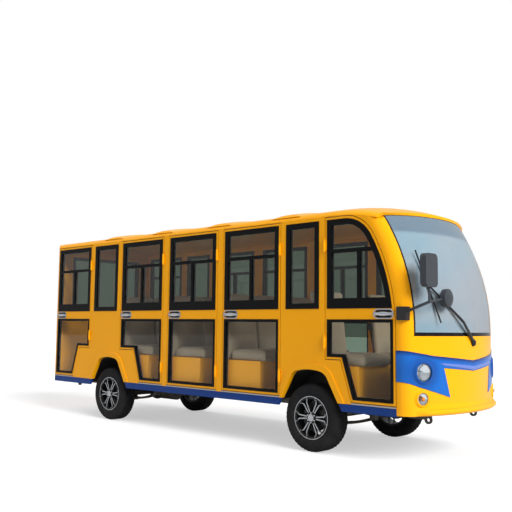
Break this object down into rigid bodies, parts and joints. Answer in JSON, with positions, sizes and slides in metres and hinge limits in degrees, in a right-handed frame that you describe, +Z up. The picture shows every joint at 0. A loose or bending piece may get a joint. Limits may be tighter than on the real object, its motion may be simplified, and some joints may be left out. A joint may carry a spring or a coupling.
{
  "type": "closed electric shuttle bus",
  "caption": "Closed low-speed passenger shuttle bus: curved nose and windscreen, hinged doors along one side, bench rows inside, ladder frame on leaf springs, steered front wheels",
  "frame": {"origin": "on the ground below the middle of the bus", "axes": "+X forward, +Y to the left, +Z up"},
  "size_m": [5.4399, 1.566, 2.233],
  "materials": {
    "yellow_paint": "gloss orange-yellow paint",
    "blue_paint": "gloss blue paint",
    "window_glass": "clear glass in black frames",
    "tyre_rubber": "matt rubber",
    "wheel_alloy": "black alloy with bright edges",
    "seat_fabric": "grey-brown upholstery",
    "clear_lens": "clear lamp lens",
    "amber_lens": "amber lamp lens",
    "red_lens": "red lamp lens",
    "dark_plastic": "dark grained plastic",
    "chassis_black": "black chassis paint"
  },
  "bodies": {
    "chassis": {"chassis_frame": "chassis_black", "floor_pan": "dark_plastic", "side_wall_right": "yellow_paint", "side_wall_left": "yellow_paint", "rear_wall": "yellow_paint", "roof": "yellow_paint", "roof_front": "yellow_paint", "front_shell": "yellow_paint", "front_band": "blue_paint", "windscreen": "window_glass", "fixed_windows": "window_glass", "rear_window": "window_glass", "skirts": "blue_paint", "wheel_liners": "dark_plastic", "head_lamps": "clear_lens", "indicators": "amber_lens", "tail_lamps": "red_lens", "mirrors": "dark_plastic", "wiper": "dark_plastic", "dashboard": "dark_plastic", "seat_bases": "yellow_paint", "seat_cushions": "seat_fabric", "seat_backs": "seat_fabric", "front_axle": "chassis_black", "rear_axle": "chassis_black", "leaf_springs": "chassis_black", "battery_pack": "chassis_black", "tow_lugs": "chassis_black", "steering_column": "dark_plastic"},
    "steering_wheel": {"steering_wheel": "dark_plastic"},
    "knuckle_left": {"knuckle_left": "chassis_black"},
    "knuckle_right": {"knuckle_right": "chassis_black"},
    "tie_rod": {"tie_rod": "chassis_black"},
    "wheel_front_left": {"rim_front_left": "wheel_alloy", "tyre_front_left": "tyre_rubber"},
    "wheel_front_right": {"rim_front_right": "wheel_alloy", "tyre_front_right": "tyre_rubber"},
    "wheel_rear_left": {"rim_rear_left": "wheel_alloy", "tyre_rear_left": "tyre_rubber"},
    "wheel_rear_right": {"rim_rear_right": "wheel_alloy", "tyre_rear_right": "tyre_rubber"},
    "door_right_1": {"door_right_1": "yellow_paint", "windows_right_1": "window_glass"},
    "door_right_2": {"door_right_2": "yellow_paint", "windows_right_2": "window_glass"},
    "door_right_3": {"door_right_3": "yellow_paint", "windows_right_3": "window_glass"},
    "door_right_4": {"door_right_4": "yellow_paint", "windows_right_4": "window_glass"},
    "door_right_5": {"door_right_5": "yellow_paint", "windows_right_5": "window_glass"},
    "door_left_1": {"door_left_1": "yellow_paint", "windows_left_1": "window_glass"}
  },
  "joints": [
    {"name": "door_right_1_hinge", "type": "hinge", "parent": "chassis", "child": "door_right_1", "pos_m": [1.6675, -0.772, 1.3], "axis": [0, 0, -1], "range_deg": [0, 80]},
    {"name": "door_right_2_hinge", "type": "hinge", "parent": "chassis", "child": "door_right_2", "pos_m": [1.1435, -0.772, 1.3], "axis": [0, 0, 1], "range_deg": [0, 80]},
    {"name": "door_right_3_hinge", "type": "hinge", "parent": "chassis", "child": "door_right_3", "pos_m": [0.2935, -0.772, 1.3], "axis": [0, 0, 1], "range_deg": [0, 80]},
    {"name": "door_right_4_hinge", "type": "hinge", "parent": "chassis", "child": "door_right_4", "pos_m": [-0.5565, -0.772, 1.3], "axis": [0, 0, 1], "range_deg": [0, 80]},
    {"name": "door_right_5_hinge", "type": "hinge", "parent": "chassis", "child": "door_right_5", "pos_m": [-1.9235, -0.772, 1.3], "axis": [0, 0, 1], "range_deg": [0, 80]},
    {"name": "door_left_1_hinge", "type": "hinge", "parent": "chassis", "child": "door_left_1", "pos_m": [1.6675, 0.772, 1.3], "axis": [0, 0, 1], "range_deg": [0, 80]},
    {"name": "steer_left", "type": "hinge", "parent": "chassis", "child": "knuckle_left", "pos_m": [1.488, 0.585, 0.3], "axis": [0, 0, 1], "range_deg": [-30, 30]},
    {"name": "steer_right", "type": "hinge", "parent": "chassis", "child": "knuckle_right", "pos_m": [1.488, -0.585, 0.3], "axis": [0, 0, 1], "range_deg": [-30, 30]},
    {"name": "tie_rod_pivot", "type": "hinge", "parent": "knuckle_left", "child": "tie_rod", "pos_m": [1.368, 0.585, 0.313], "axis": [0, 0, 1], "range_deg": [-30, 30]},
    {"name": "steering_wheel_turn", "type": "hinge", "parent": "chassis", "child": "steering_wheel", "pos_m": [2.13, 0.35, 1.12], "axis": [-0.2512, 0, 0.9679], "range_deg": [-420, 420]},
    {"name": "wheel_front_left_spin", "type": "hinge", "parent": "knuckle_left", "child": "wheel_front_left", "pos_m": [1.488, 0.65, 0.3], "axis": [0, 1, 0], "continuous": true},
    {"name": "wheel_rear_left_spin", "type": "hinge", "parent": "chassis", "child": "wheel_rear_left", "pos_m": [-1.538, 0.65, 0.3], "axis": [0, 1, 0], "continuous": true},
    {"name": "wheel_front_right_spin", "type": "hinge", "parent": "knuckle_right", "child": "wheel_front_right", "pos_m": [1.488, -0.65, 0.3], "axis": [0, 1, 0], "continuous": true},
    {"name": "wheel_rear_right_spin", "type": "hinge", "parent": "chassis", "child": "wheel_rear_right", "pos_m": [-1.538, -0.65, 0.3], "axis": [0, 1, 0], "continuous": true}
  ],
  "couplings": [
    {"joint": "steer_right", "follows": "steer_left", "ratio": 1},
    {"joint": "tie_rod_pivot", "follows": "steer_left", "ratio": -1},
    {"joint": "steering_wheel_turn", "follows": "steer_left", "ratio": 14}
  ]
}
